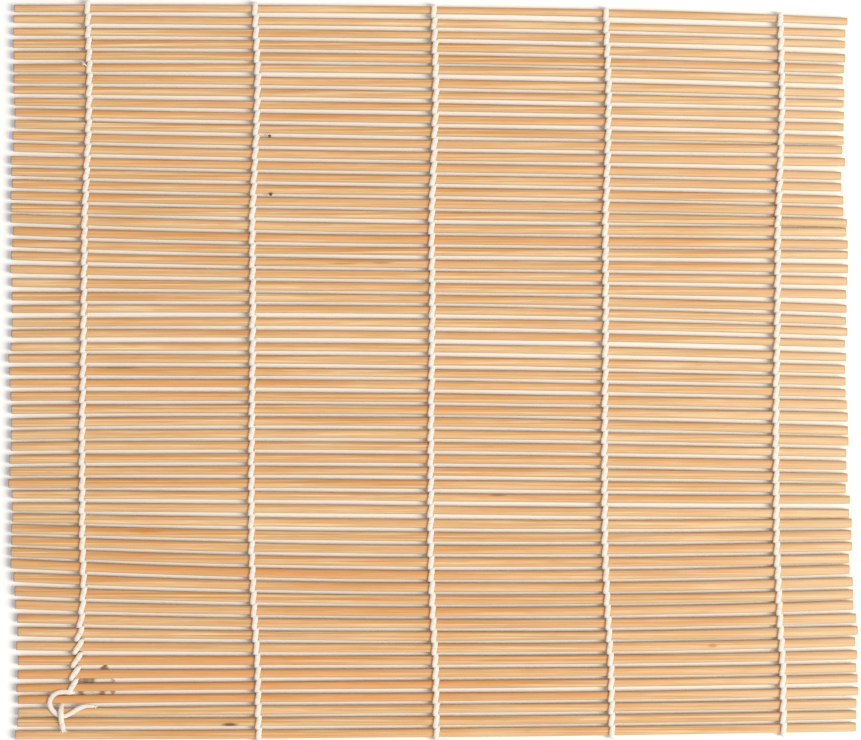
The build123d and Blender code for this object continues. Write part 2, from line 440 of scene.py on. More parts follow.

# %% [markdown]
# The twine is undyed cotton, spun from three plies. Its fibres follow the plies, so their streaks
# are laid on places that turn round with the plies as they run along the strand, and the grooves
# between the plies are darkened with painted shade. Some lengths are worn, and the ends that are
# tucked under the mat are browned with dirt and painted shade.

# %% Cotton
def cotton_material():
    """Off-white cotton: fibres along the plies, painted groove shade, soft and without gloss."""
    material, tree, shader = new_material("cotton_twine")
    groove_shade, worn, dirt_and_shade, _ = attribute_parts(tree, "ply")
    _, _, _, lay = attribute_parts(tree, "lay")
    fibres = mask_of(tree, STREAKS, lay, (9, 9, 1.1), 0.3, 0.7)
    fluff = mask_of(tree, STREAKS, lay, (2.2, 2.2, 0.9), 0.35, 0.65)
    colour = washes(tree, (255, 242, 225), (
        (fluff, 1, (255, 251, 243)), (fibres, 0.22, (236, 214, 184)),
        # Painted shade in the grooves between the plies.
        (groove_shade, 0.16, (206, 170, 134)), (worn, 0.2, (246, 222, 196)),
        # Dirt and painted shade on the tucked tails under the slats.
        (dirt_and_shade, 0.85, (150, 112, 82))))
    join(tree, colour, shader.inputs["Base Color"])
    for name, value in (("Roughness", 0.9), ("Specular IOR Level", 0.2),
                        ("Sheen Weight", 0.25), ("Sheen Roughness", 0.5)):
        shader.inputs[name].default_value = value
    bump_from(tree, shader, ((fibres, 0.7), (fluff, 0.3)), 0.05 * MM)
    return material


COTTON = cotton_material()
print("nodes in the cotton:", len(COTTON.node_tree.nodes))

# %% [markdown]
# ## The slats
#
# A slat is split from the cane, planed flat on both faces, and its long edges are only eased. Its
# section is a superellipse: between an ellipse and a rectangle, so the faces are almost flat and
# the edges round. It could be a bevelled box, but then every slat would be the same. Here the
# width, the height and the line of each slat waver a little, and its ends are cut by eye.
#
# Each slat also has a line, a width and ends of its own, as six numbers in hundredths of a
# millimetre: how far its left, middle and right lie up the mat from the smooth line, how much wider
# than the others it is, and how far to the right its two ends lie. So some gaps look wide and
# others almost closed, and the mat's sides are ragged.

# %% Each slat's own shape
OWN_REACH = 110 * MM
OWN_SHAPES = 0.01 * MM * np.array((
    (19, 15, 26, 24, -13, 46), (40, 10, 23, 19, 49, 61), (-16, 6, 0, 13, 80, 74),
    (-9, -5, -6, 4, 79, 131), (-41, 6, 19, -4, 49, 114), (-33, -7, -13, 15, 82, 77),
    (-19, 3, 5, 27, 102, 112), (14, 0, 26, 19, 75, 83), (25, -8, 3, 26, 127, 174),
    (16, -2, 9, 27, 140, 140), (14, -8, 32, 27, 96, 81), (5, -6, 6, 34, 96, 90),
    (24, -8, 13, 30, 77, 92), (41, -13, 26, 31, 7, 13), (12, 1, 6, 29, 23, 7),
    (5, -3, 11, 23, 52, 106), (6, -11, 4, 26, 51, 92), (-1, -9, 8, 21, 81, 102),
    (-14, 9, -37, 12, 75, 26), (9, 7, 22, -2, 68, 53), (-2, 1, 18, 24, -29, -67),
    (-11, 9, 4, 12, 7, -10), (-6, 7, 6, 15, -2, -45), (6, 6, 20, 6, 48, -47),
    (-12, -3, 17, 10, 49, 14), (-22, -2, -13, 17, 49, -3), (-5, -19, 26, 20, 52, -11),
    (1, -23, 27, 18, 26, -42), (15, -9, 17, -6, 2, -80), (5, -28, 6, 1, -20, -84),
    (17, -25, -2, 7, -44, -105), (-9, -13, 1, -6, 19, -76), (20, 6, 33, -16, 38, -110),
    (-22, 13, 22, 1, 50, -44), (-3, 33, -27, -11, 43, -89), (-12, 10, -40, 0, 39, -73),
    (-4, -5, -6, 13, 36, -84), (6, 3, 8, 3, -11, -52), (25, -4, 5, 10, 25, -29),
    (23, 6, 46, -7, 60, -36), (22, -7, 18, 8, 77, -35), (37, -24, 37, 14, 7, -78),
    (5, 2, -17, 7, 5, -68), (13, -6, -25, 13, -11, -180), (10, -2, -24, 6, 22, -192),
    (10, 2, 3, 1, -17, -264), (-8, -6, -8, 0, -48, -282), (23, -16, 41, 1, 13, -183),
    (9, -11, 50, 0, -14, -277), (9, -6, -4, 5, 34, -243), (7, 3, 30, -13, 31, -251),
    (-9, 1, 24, -17, 15, -248), (-4, 3, 23, -16, -13, -260), (-10, -12, -10, 3, -15, -246),
    (-21, 22, 21, -7, -13, -278), (2, -7, 6, -2, 7, -237), (-9, -6, -15, -1, -11, -190),
    (-9, 1, 31, -20, 12, -190), (4, -3, 6, -19, 27, -166), (-27, 33, 24, -22, 58, -96)))


def own_line(number, x):
    """The parabola through a slat's left, middle and right, at the reach each way from 0."""
    left, middle, right = OWN_SHAPES[number - 1, :3]
    along = x / OWN_REACH
    return middle + (right - left) / 2 * along + ((left + right) / 2 - middle) * along ** 2


def slat_ends(number):
    """X of both ends: half the length each way, shifted with the mat, plus each end's own place."""
    halves = np.array((-0.5, 0.5)) * SLAT_LENGTH
    return halves + stray(number - 0.5) + OWN_SHAPES[number - 1, 4:]


widths = (SLAT_WIDTH + OWN_SHAPES[:, 3]) / MM
print("slats are", round(float(widths.min()), 2), "to", round(float(widths.max()), 2), "mm wide")
print("slat 30 runs from", [round(float(end / MM), 1) for end in slat_ends(30)], "mm")

# %% What wavers
WAVE_LENGTHS = (45, 160)
chance = np.random.default_rng(60)


def slow_waves(x, count, size):
    """Sum of a few sine waves along x, with random lengths and starts, at most about size."""
    lengths = chance.uniform(*WAVE_LENGTHS, count) * MM
    starts = chance.uniform(0, 2 * math.pi, count)
    waves = np.sin(2 * math.pi * x[:, None] / lengths + starts)
    return size * waves.sum(1) / count


# %% One slat's rings
AROUND_SLAT, ALONG_SLAT = 20, 61
SQUARENESS = 3.0
TRIM, MARGIN, END_SCALE = 0.12 * MM, 0.5 * MM, 0.9
WAVER, LINE_WAVER, HEIGHT_WAVER = 0.05, 0.05 * MM, 0.03 * MM


def slat_rings(number):
    """Superellipse rings along the slat's bowed line, drawn in at the very ends.

    Across and up are the cosine and the sine, each to the power of two over the squareness.
    """
    left, right = slat_ends(number)
    inner = left + MARGIN + (right - left - 2 * MARGIN) * np.linspace(0, 1, ALONG_SLAT)
    x = np.concatenate([[left, left + TRIM], inner, [right - TRIM, right]])
    end_scale = np.ones(len(x))
    end_scale[[0, -1]] = END_SCALE
    width = SLAT_WIDTH + OWN_SHAPES[number - 1, 3]
    half_width = width / 2 * (1 + slow_waves(x, 4, WAVER)) * end_scale
    half_height = SLAT_THICKNESS / 2 * (1 + slow_waves(x, 3, WAVER)) * end_scale
    y = line_y(number - 0.5, x) + own_line(number, x) + slow_waves(x, 4, LINE_WAVER)
    z = MIDDLE + slow_waves(x, 3, HEIGHT_WAVER)
    angle = np.linspace(0, 2 * math.pi, AROUND_SLAT, endpoint=False)
    across, up = [np.sign(part) * np.abs(part) ** (2 / SQUARENESS)
                  for part in (np.cos(angle), np.sin(angle))]
    rings = np.stack([np.broadcast_to(x[:, None], (len(x), AROUND_SLAT)),
                      y[:, None] + half_width[:, None] * across,
                      z[:, None] + half_height[:, None] * up], -1)
    return rings, x, across


# %% [markdown]
# A few slats, or lengths of them, come from darker cane: how warm, where along X the middle of the
# warm length is, and half its length. The rest is left to chance. The right ends are paler, a
# painted sheen for the lamp on the right, and the cut faces are brown, partly the saw's colour and
# partly painted shade.

# %% A slat's colours
WARM_LENGTHS = {
    4: (1.1, -70, 130), 5: (0.85, -75, 120), 6: (0.6, -70, 80), 7: (0.45, -80, 70),
    8: (0.2, -60, 70), 11: (0.6, -20, 40), 14: (0.7, -60, 60), 17: (0.4, -80, 35),
    20: (0.6, 70, 60), 23: (0.35, 40, 90), 29: (0.4, -70, 60), 30: (0.7, -85, 45),
    33: (0.3, 0, 200), 36: (0.3, 60, 90), 41: (0.35, 0, 200), 44: (0.6, 108, 25),
    46: (0.3, -40, 90), 47: (0.5, 0, 200), 51: (0.3, 0, 200), 56: (0.3, 0, 200)}
# Where a painted sheen pales the slats, for the lamp on the right: X in millimetres, and its share.
PAINTED_SHEEN_X, PAINTED_SHEEN = (0, 25, 76, 100, 118), (0, 0.1, 0.15, 0.55, 0.85)
CUT_DEPTH = 0.15 * MM
EDGE_START, EDGE_WIDTH = 0.2, 0.72


def edge_mask(across):
    """Smooth step, 3 s squared - 2 s cubed, from the edge's start on the face to its full shade."""
    share = np.clip((across - EDGE_START) / EDGE_WIDTH, 0, 1)
    return share * share * (3 - 2 * share)


def slat_colours(number, x, across):
    """Two attributes: (tone, warmth, painted shade) and (cut end, painted light, painted sheen)."""
    tone = chance.uniform(-0.1, 0.75) + slow_waves(x, 3, 0.25)
    warmth = chance.uniform(-0.1, 0.3) + slow_waves(x, 3, 0.2)
    warm, warm_x, reach = WARM_LENGTHS.get(number, (0, 0, 1))
    warmth = warmth + warm * np.clip(2 - 2 * np.abs(x / MM - warm_x) / reach, 0, 1)
    # The cut ends are browned: partly the saw's colour, partly painted shade on the end faces.
    cut = np.exp(-np.minimum(x - x[0], x[-1] - x) / CUT_DEPTH)
    # A painted sheen: the right side paled, for the lamp on the right.
    painted_sheen = np.interp(x / MM, PAINTED_SHEEN_X, PAINTED_SHEEN)
    # Painted shade on the upper long edge, by edge_mask(across), and painted light on the lower
    # one.
    look = (np.clip(tone, 0, 1)[:, None], np.clip(warmth, 0, 1)[:, None], edge_mask(across))
    end = (cut[:, None], edge_mask(-across), painted_sheen[:, None])
    shape = (len(x), len(across))
    return [np.stack([np.broadcast_to(part, shape) for part in parts], -1)
            for parts in (look, end)]


# %% All the slats
def body_of_slat(number):
    """The body that a slat belongs to, and the solid that it stands for."""
    if number <= EDGE_SLATS:
        return "edge_strip", "edge_slats"
    strip = (number - EDGE_SLATS - 1) // STRIP_SLATS + 1
    return f"strip_{strip:02d}", f"slat_pair_{strip:02d}"


for number in range(1, SLATS + 1):
    rings, x, across = slat_rings(number)
    look, end = slat_colours(number, x, across)
    tube = {"rings": rings, "slat_look": look, "slat_end": end}
    slat = tubes_object(f"slat_{number:02d}", [tube], BAMBOO)
    body, node = body_of_slat(number)
    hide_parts(node)
    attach(slat, body)
print("slats:", SLATS, "with", len(slat.data.polygons), "faces each")

# %% [markdown]
# ## The twine
#
# Over one slat a strand climbs out of the gap, bends round the eased edge, runs across the flat
# face, and dives into the next gap. Seen from the side that is half of a rounded slot. The next
# half of the wave is the same shape upside down, under the next slat. Meanwhile the strand moves
# from one side of its row to the other, so from above each visible run leans to the right.

# %% The shape of one wrap
FLAT = 0.45 * MM
ROUND = PITCH / 2 - FLAT
SHOULDER = 0.45
turn = np.radians(np.linspace(0, 90, 6))
rise_y = FLAT + ROUND * np.cos(turn)
across_flat = np.linspace(FLAT, -FLAT, 5)[1:-1]
WRAP_Y = np.concatenate([rise_y, across_flat, -rise_y[::-1]])
WRAP_Z = np.concatenate([np.sin(turn), np.ones(3), np.sin(turn)[::-1]]) ** SHOULDER
WRAP_STEPS = len(WRAP_Y) - 1
WRAP_SHARE = (WRAP_Y[0] - WRAP_Y) / PITCH
print("steps over one slat:", WRAP_STEPS)

# %% [markdown]
# The mat's wander carries the rows along, and each strays a little by itself: by hundredths of a
# millimetre to the right at every tenth of the depth, from the knotted edge on. The first row is
# open at that edge, so it drifts outwards there and its strands part.

# %% Where the rows run
ROW_STRAY = 0.01 * MM * np.array((
    (0, 0, 0, -2, 2, 11, 20, 45, 62, 77, 78), (20, 18, -8, -15, 0, 7, -4, -15, 7, 36, 20),
    (-45, -44, -41, -35, -22, -16, -19, -35, -36, -20, -15),
    (-18, -19, -35, -50, -50, -44, -47, -55, -64, -75, -86),
    (-27, -29, -43, -59, -70, -74, -57, -43, -42, -28, -16)))
OPEN_DRIFT, OPEN_SHARE, OPEN_CURVE = 4.7 * MM, 0.2, 1.2
PARTED, PARTED_AT, PARTED_REACH = 0.6 * MM, 0.108, 0.05


def row_place(row, gap):
    """X of a row's middle at a gap: its spacing and own place, the mat's wander, and its stray."""
    share = gap / SLATS
    place = (row - 2) * ROW_SPACING + ROW_SHIFT[row] * MM + stray(gap)
    place = place + np.interp(share, np.linspace(0, 1, 11), ROW_STRAY[row])
    if row == 0:
        to_edge = np.maximum(0, 1 - share / OPEN_SHARE) / (1 - EDGE_SLATS / SLATS / OPEN_SHARE)
        place = place - OPEN_DRIFT * to_edge ** OPEN_CURVE
    return place


def side_reach(row, gap):
    """How far to the side the strands swing. Where the first row's part, by a parabola more."""
    reach = SIDE_SHIFT * np.clip(np.minimum(SLATS - gap, gap if row else 1), 0, 1)
    if row == 0:
        away = (gap / SLATS - PARTED_AT) / PARTED_REACH
        reach = reach + PARTED * np.maximum(0, 1 - away ** 2)
    return reach


print("X of the first row at the bends' start, mm:", round(float(row_place(0, EDGE_SLATS) / MM), 1))

# %% The line of a strand
def strand_line(row, over_odd, first_slat):
    """Middle line of one strand, and its height as a share of the run's, from slat to slat."""
    number = np.arange(first_slat, SLATS + 1)[:, None]
    sign = np.where((number % 2 == 1) == over_odd, 1.0, -1.0)
    share = WRAP_SHARE[None, :-1]
    gap = number - 1 + share
    swing = 0.5 * (2 * share - 1) - 0.5 * np.cos(math.pi * share)
    height = sign * WRAP_Z[None, :-1]
    x = row_place(row, gap) + sign * swing * side_reach(row, gap)
    line = np.stack([x, line_y(gap, x), MIDDLE + RUN * height], -1).reshape(-1, 3)
    end_x = row_place(row, SLATS)
    last = [[float(end_x), float(line_y(SLATS, end_x)), MIDDLE]]
    return np.concatenate([line, last]), np.concatenate([height.ravel(), [0]])


def distance_along(line):
    """Distance from a line's start to each of its points: the running sum of its steps."""
    steps = np.linalg.norm(np.diff(line, axis=0), axis=1)
    return np.concatenate([[0], np.cumsum(steps)])


sample = strand_line(2, True, 1)[0]
print("a strand:", len(sample), "points,", round(distance_along(sample)[-1] / MM), "mm long")

# %% [markdown]
# At the far edge each row's two strands are one piece of twine, folded round the outer slat. So a
# row is drawn as one long line: up one strand, round the fold, and back down the other. Four rows
# close round the first slat as well. Each line then gets its rings. In a gap the twine is squeezed
# narrow, on a slat it is pressed wide and flat, and three low lobes turn along it as its plies.

# %% Rings along a strand
AROUND_TWINE = 18
PLIES, PLY_TURN, PLY_LOBE = 3, 3.4 * MM, 0.045
HALF_WIDE, WIDENED = 0.66 * MM, 0.1 * MM
HALF_HIGH, PRESSED_UNDER, PRESSED_OVER = 0.5 * MM, 0.13 * MM, 0.05 * MM
ABOVE_TABLE = 0.01 * MM
# How many times shorter than a slat's waves those of the thickness and of the wear are.
THICKNESS_WAVES, WORN_WAVES = 12, 4


def unit(vectors):
    """Vectors over their own lengths."""
    return vectors / np.linalg.norm(vectors, axis=-1, keepdims=True)


def twine_rings(line, height_share, closed, lying=0.0, slim=1.0):
    """Rings square to the line: an ellipse that is wide where the strand is pressed, times lobes.

    Sideways is X made square to the line, or on a lying strand Z crossed with the line.
    """
    ahead = np.roll(line, -1, 0) - np.roll(line, 1, 0) if closed else np.gradient(line, axis=0)
    forward = unit(ahead)
    share = np.broadcast_to(lying, len(line))[:, None]
    sideways = unit((1 - share) * (np.array([1.0, 0, 0]) - forward[:, :1] * forward)
                    + share * np.cross((0, 0, 1.0), forward))
    upright = np.cross(forward, sideways)
    run = distance_along(line)
    pressed = np.abs(height_share) ** 2
    uneven = (1 + slow_waves(run * THICKNESS_WAVES, 5, 0.07)) * slim
    half_wide = (HALF_WIDE + WIDENED * pressed) * uneven
    flattened = np.where(height_share < 0, PRESSED_UNDER, PRESSED_OVER) * pressed
    half_high = (HALF_HIGH - flattened) * slim
    angle = np.linspace(0, 2 * math.pi, AROUND_TWINE, endpoint=False)[None]
    ply_angle = angle - 2 * math.pi * run[:, None] / PLY_TURN
    less_below = np.clip((height_share[:, None] + 1) * 2, 0.25, 1)
    lobes = 1 + PLY_LOBE * np.cos(PLIES * ply_angle) * less_below
    rings = (line[:, None]
             + sideways[:, None] * (half_wide[:, None] * np.cos(angle) * lobes)[..., None]
             + upright[:, None] * (half_high[:, None] * np.sin(angle) * lobes)[..., None])
    rings[..., 2] = np.maximum(rings[..., 2], ABOVE_TABLE)
    # Where the grooves between the plies lie, for the painted shade in them.
    groove_shade = np.clip(-np.cos(PLIES * ply_angle), 0, 1)
    worn = np.clip(0.5 + slow_waves(run * WORN_WAVES, 4, 0.8), 0, 1)[:, None]
    ply = np.stack([groove_shade, np.broadcast_to(worn, groove_shade.shape), np.zeros(groove_shade.shape)], -1)
    along = np.broadcast_to(run[:, None] / MM, groove_shade.shape)
    lay = np.stack([np.cos(ply_angle), np.sin(ply_angle), along], -1)
    return {"rings": rings, "ply": ply, "lay": lay}


def stretch_of(tube, indices):
    """The part of a tube with these rings, counted round a closed line."""
    return {key: np.take(value, indices, axis=0, mode="wrap") for key, value in tube.items()}


# %% [markdown]
# ### The corner that came loose
#
# At the lower left corner the first row is untied. One strand comes up through a gap, passes over
# two slats and ends in a small tuft. The other lies loose on the slats: it curls to the left, runs
# under the first and ends on the right. Both are smooth lines through a few points, so they are
# NURBS curves, read back as points, and joined to the ends of the row's own line.

# %% Smooth lines
def smooth_line(points, spacing=0.35 * MM):
    """The NURBS curve of these control points, as evenly spaced points."""
    curve = bpy.data.curves.new("line", "CURVE")
    curve.dimensions = "3D"
    spline = curve.splines.new("NURBS")
    spline.points.add(len(points) - 1)
    spline.points.foreach_set("co", [v for p in points for v in (*p, 1.0)])
    spline.order_u = 3
    spline.use_endpoint_u = True
    spline.resolution_u = 12
    holder = bpy.data.objects.new("line", curve)
    mesh = bpy.data.meshes.new_from_object(holder)
    found = np.array([v.co for v in mesh.vertices])
    bpy.data.objects.remove(holder)
    bpy.data.curves.remove(curve)
    bpy.data.meshes.remove(mesh)
    run = distance_along(found)
    even = np.linspace(0, run[-1], max(8, int(run[-1] / spacing)))
    return np.stack([np.interp(even, run, found[:, axis]) for axis in range(3)], -1)


# %% Points of the two free strands
def corner_points():
    """Control points of the tie strand and of the loose end, each leading away from gap 4."""
    low, top, arch = MIDDLE - RUN, MIDDLE + RUN, MIDDLE + RUN + 1.0 * MM
    tie = [(x * MM, float(line_y(gap, x * MM)), low) for x, gap in ((-105.2, 3.72), (-105.75, 3.3))]
    y3, y2, y1 = [float(line_y(gap, -105.8 * MM)) for gap in (3, 2, 1)]
    tie += [(x * MM, y + up * MM, z) for x, y, up, z in (
        (-105.9, y3, 0.2, MIDDLE), (-105.95, y3, -0.75, top), (-105.95, y2, 2.0, arch - 0.15 * MM),
        (-105.9, y2, 0.6, arch), (-105.8, y2, -1.2, arch - 0.2 * MM), (-105.7, y1, 1.7, top),
        (-105.55, y1, 0.7, top - 0.15 * MM), (-105.4, y1, 0.1, top - 0.3 * MM))]
    loose = [(x * MM, y * MM, top - 0.03 * MM) for x, y in (
        (-102.6, -91.6), (-105.4, -91.2), (-107.8, -91.7), (-109.3, -93.6), (-109.2, -95.8),
        (-107.4, -97.7), (-105.3, -98.5), (-103.1, -97.4), (-101.0, -96.0), (-98.8, -95.2),
        (-96.6, -95.5))]
    return tie, loose


tie_points, loose_points = corner_points()
print("loose end, mm:", round(distance_along(smooth_line(loose_points))[-1] / MM, 1))

# %% [markdown]
# ### Splitting the rows where the mat bends
#
# The mat rolls up, so the twine must bend at every moving gap. Each row is cut at the middles of
# slats. The stretch from the middle of one slat to the middle of the next, over a gap that moves,
# is a piece of its own, baked where it lies. The stretch inside a strip rides on that strip.

# %% The five rows
LOOSE_HEIGHT, LAID_OVER = 0.55, 6
LOOSE_THINNED, THINNED_OVER = 0.45, 12


def up_and_back(row, first_slat):
    """Up one strand of a row, round the fold, and back down the other: points and heights."""
    up, up_height = strand_line(row, True, first_slat)
    back, back_height = strand_line(row, False, first_slat)
    return (np.concatenate([up, back[::-1][1:]]),
            np.concatenate([up_height, back_height[::-1][1:]]))


def closed_row(row):
    """A row closed round the first slat: its tube, its rings before and after, and all rings."""
    line, height = [part[:-1] for part in up_and_back(row, 1)]
    return twine_rings(line, height, True), 0, 0, len(line)


def open_row():
    """The same with the tie strand before, and after it the loose end, laid flat and thinning."""
    line, height = up_and_back(0, EDGE_SLATS + 1)
    tie = smooth_line([tuple(line[0]), *tie_points])[1:][::-1]
    loose = smooth_line([tuple(line[-1]), *loose_points])[1:]
    line = np.concatenate([tie, line, loose])
    height = np.concatenate([np.clip((tie[:, 2] - MIDDLE) / RUN, -1, 1), height,
                             np.full(len(loose), LOOSE_HEIGHT)])
    from_end = np.arange(len(line)) - len(line)
    lying = np.clip((from_end + len(loose)) / LAID_OVER, 0, 1)
    slim = 1 - LOOSE_THINNED * np.clip(from_end / THINNED_OVER + 1, 0, 1)
    return twine_rings(line, height, False, lying, slim), len(tie), len(loose), len(line)


rows = [open_row()] + [closed_row(row) for row in range(1, ROWS)]
print("rings in a row:", rows[1][3], "and in the loose row:", rows[0][3])

# %% Stretches of a row
def both_strands(row, first_gap, last_gap):
    """A row's two strands between two gap numbers, or one folded strand past the outer slat."""
    tube, before, _, _ = rows[row]
    start = EDGE_SLATS if row == 0 else 0
    top = before + (SLATS - start) * WRAP_STEPS
    first = before + round((first_gap - start) * WRAP_STEPS)
    last = before + round((last_gap - start) * WRAP_STEPS)
    if last_gap == SLATS:
        return [stretch_of(tube, np.arange(first, 2 * top - first + 1))]
    return [stretch_of(tube, np.arange(first, last + 1)),
            stretch_of(tube, np.arange(2 * top - last, 2 * top - first + 1))]


def hinge_gap(strip):
    """Number of the gap that a strip bends at."""
    return EDGE_SLATS + (strip - 1) * STRIP_SLATS


print("the strips bend at every other gap from", hinge_gap(1), "to", hinge_gap(STRIPS))

# %% [markdown]
# The line that a bend between two strips would turn about is worked out at each moving gap. The
# gap is bowed, but a turn has to start and end on straight lines, so the best straight line through
# the gap's five crossings gives its middle, and it starts and ends half a millimetre to each side,
# inside the gap. These lines are worked out but not used: the twine over each bend is baked where
# it lies.

# %% Twine over the bends
HALF_BEND = 0.5 * MM


def bend_band(gap):
    """Start and end of a turn: half a band each side of the straight line through the crossings."""
    x = np.array([float(row_place(row, gap)) for row in range(ROWS)])
    slope, middle = np.polyfit(x, line_y(gap, x), 1)
    away = np.array([-slope, 1.0]) / math.hypot(slope, 1)
    return [(away[0] * half, middle + away[1] * half, MIDDLE) for half in (-HALF_BEND, HALF_BEND)]


for strip in range(1, STRIPS + 1):
    gap = hinge_gap(strip)
    tubes = []
    for row in range(ROWS):
        before = 0.5 if row or strip > 1 else 0  # the first row starts in the first moving gap
        tubes += both_strands(row, gap - before, gap + 0.5)
    piece = tubes_object(f"twine_bend_{strip:02d}", tubes, COTTON)
    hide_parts(f"twine_wraps_{strip:02d}")
    bend_band(gap)
    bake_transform(piece)
print("pieces of twine over bends:", STRIPS)

# %% Twine inside the strips
for strip in range(1, STRIPS + 1):
    gap = hinge_gap(strip)
    last = SLATS if strip == STRIPS else gap + 1.5
    tubes = [tube for row in range(ROWS) for tube in both_strands(row, gap + 0.5, last)]
    piece = tubes_object(f"twine_strip_{strip:02d}", tubes, COTTON)
    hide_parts(f"twine_wraps_{strip:02d}")
    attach(piece, f"strip_{strip:02d}")
print("faces in the last strip's twine:", len(piece.data.polygons))

# %% Twine on the edge strip
half = round((EDGE_SLATS - 0.5) * WRAP_STEPS)
tubes = [stretch_of(rows[row][0], np.arange(-half, half + 1)) for row in range(1, ROWS)]
edge_twine = tubes_object("twine_edge", tubes, COTTON)
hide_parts("edge_twine")
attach(edge_twine, "edge_strip")
print("faces in the edge strip's twine:", len(edge_twine.data.polygons))

# %% [markdown]
# Cut cotton frays: the plies open and single fibres spread at the tip. A tuft is a handful of thin
# tapered tubes that leave the end of the strand in a cone, each with a slight curl of its own. The
# tie strand lies on the edge strip and rides on it. The loose end starts over the first bend, and
# it is baked where it lies.

# %% A tuft
AROUND_FIBRE, ALONG_FIBRE = 6, 8
FIBRE_RADIUS, FIBRE_SAG = 0.16 * MM, 0.35 * MM


def tuft(tip, direction, count, length, spread):
    """Tapered tubes from a tip: a straight line plus a random sideways curl that grows squared."""
    side = np.cross(direction, (0, 0, 1.0))
    upright = np.cross(direction, unit(side)) / np.linalg.norm(direction)
    share = np.linspace(0, 1, ALONG_FIBRE)[:, None]
    angle = np.linspace(0, 2 * math.pi, AROUND_FIBRE, endpoint=False)[None]
    radius = FIBRE_RADIUS * (1 - 0.75 * share)
    section = (unit(side) * (radius * np.cos(angle))[..., None]
               + upright * (radius * np.sin(angle))[..., None])
    tubes = []
    for fibre in range(count):
        way = direction + side * chance.uniform(-spread, spread)
        way = way + np.array((0, 0, chance.uniform(-0.3, 0.15)))
        curl = side * chance.uniform(-0.5, 0.5) * length
        line = tip + way * share * length * chance.uniform(0.6, 1) + curl * share ** 2
        line[:, 2] = np.maximum(line[:, 2], tip[2] - FIBRE_SAG)
        lay = [np.broadcast_to(part, (ALONG_FIBRE, AROUND_FIBRE))
               for part in (np.cos(angle), np.sin(angle), fibre * 7 + share * 6)]
        tubes.append({"rings": line[:, None] + section, "ply": np.zeros(section.shape),
                      "lay": np.stack(lay, -1)})
    return tubes


# %% The two free ends
TUFT_LENGTH, TUFT_START = 1.7 * MM, 0.3 * MM

tube, tie_count, loose_count, total = rows[0]
tie = stretch_of(tube, np.arange(0, tie_count + 1))
loose = stretch_of(tube, np.arange(total - loose_count - 1, total))
ends = (("tie_strand", tie, 0, 2, 22, 1.0), ("loose_end", loose, -1, -3, 10, 0.35))
for name, piece, at_tip, inside, fibres, spread in ends:
    tip, back = piece["rings"][at_tip].mean(0), piece["rings"][inside].mean(0)
    way = unit(tip - back)
    frayed = tuft(tip - way * TUFT_START, way, fibres, TUFT_LENGTH, spread)
    made = tubes_object(name + "_cord", [piece, *frayed], COTTON)
    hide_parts(name)
    if name == "tie_strand":
        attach(made, "edge_strip")
    else:
        bend_band(EDGE_SLATS)
        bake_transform(made)
    print(name, "ends in", fibres, "fibres")

# %% [markdown]
# ### What shows through the gaps
#
# Beside the loose corner the ends of two strands are tucked under the mat, and show through three
# gaps. They lie flat under the slats of the first strip and move with them. Both are smooth lines
# like the others, with a low, wide section, because the slats press them on the table, and they are
# browned in places, with dirt and with painted shade from the slats above: each place is X, Y and a
# reach, in millimetres.

# %% The tucked tails
TAIL_HEIGHT, TAIL_PRESSED, DIRT_AND_SHADE = 0.43 * MM, -0.9, 1.3
TAIL_PLACES = (
    ((-100.9, -91.9), (-99.2, -91.2), (-96.8, -91.0), (-93.6, -92.0), (-91.0, -91.4),
     (-90.9, -88.6), (-93.4, -88.0), (-96.6, -88.3), (-99.4, -88.1), (-101.5, -88.0)),
    ((-97.4, -86.5), (-95.6, -86.2), (-94.2, -85.1), (-92.8, -84.3)))
DIRT_AND_SHADE_PLACES = np.array((
    (-100.3, -91.8, 0.6), (-94.4, -91.8, 0.8), (-91.3, -91.6, 0.7), (-91.2, -88.3, 0.6),
    (-97.4, -88.2, 0.8), (-99.2, -88.1, 1.4), (-101.2, -88.0, 1.0), (-93.7, -84.8, 1.1)))


def tucked_tube(line):
    """A pressed strand, browned by exp(-(distance / reach) squared) of the nearest place."""
    tube = twine_rings(line, np.full(len(line), TAIL_PRESSED), False, 1.0)
    gaps = line[:, None, :2] / MM - DIRT_AND_SHADE_PLACES[None, :, :2]
    away = np.linalg.norm(gaps, axis=2) / DIRT_AND_SHADE_PLACES[:, 2]
    # Brown from dirt and painted shade, where the tails lie under the slats.
    tube["ply"][..., 2] = np.clip(DIRT_AND_SHADE * np.exp(-away ** 2).max(1), 0, 1)[:, None]
    return tube


tail_lines = [smooth_line([(x * MM, y * MM, TAIL_HEIGHT) for x, y in places])
              for places in TAIL_PLACES]
tucked = tubes_object("tucked_tail", [tucked_tube(line) for line in tail_lines], COTTON)
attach(tucked, "strip_01")
print("tucked tails, mm:", [round(float(distance_along(line)[-1] / MM), 1) for line in tail_lines])

# %% [markdown]
# Two chips of dark skin stick out into the gaps, and one strand has a pulled fibre. A chip is the
# size of a grain of sand, so it is a short closed tube that swells and closes as a half wave, and
# the fibre is a small tuft.

# %% Chips and a pulled fibre
AROUND_CHIP, ALONG_CHIP = 10, 9
CHIP_LENGTH, CHIP_WIDTH, CHIP_HEIGHT = 1.0 * MM, 0.9 * MM, 0.6 * MM
CHIP_RAISED = 0.35 * MM


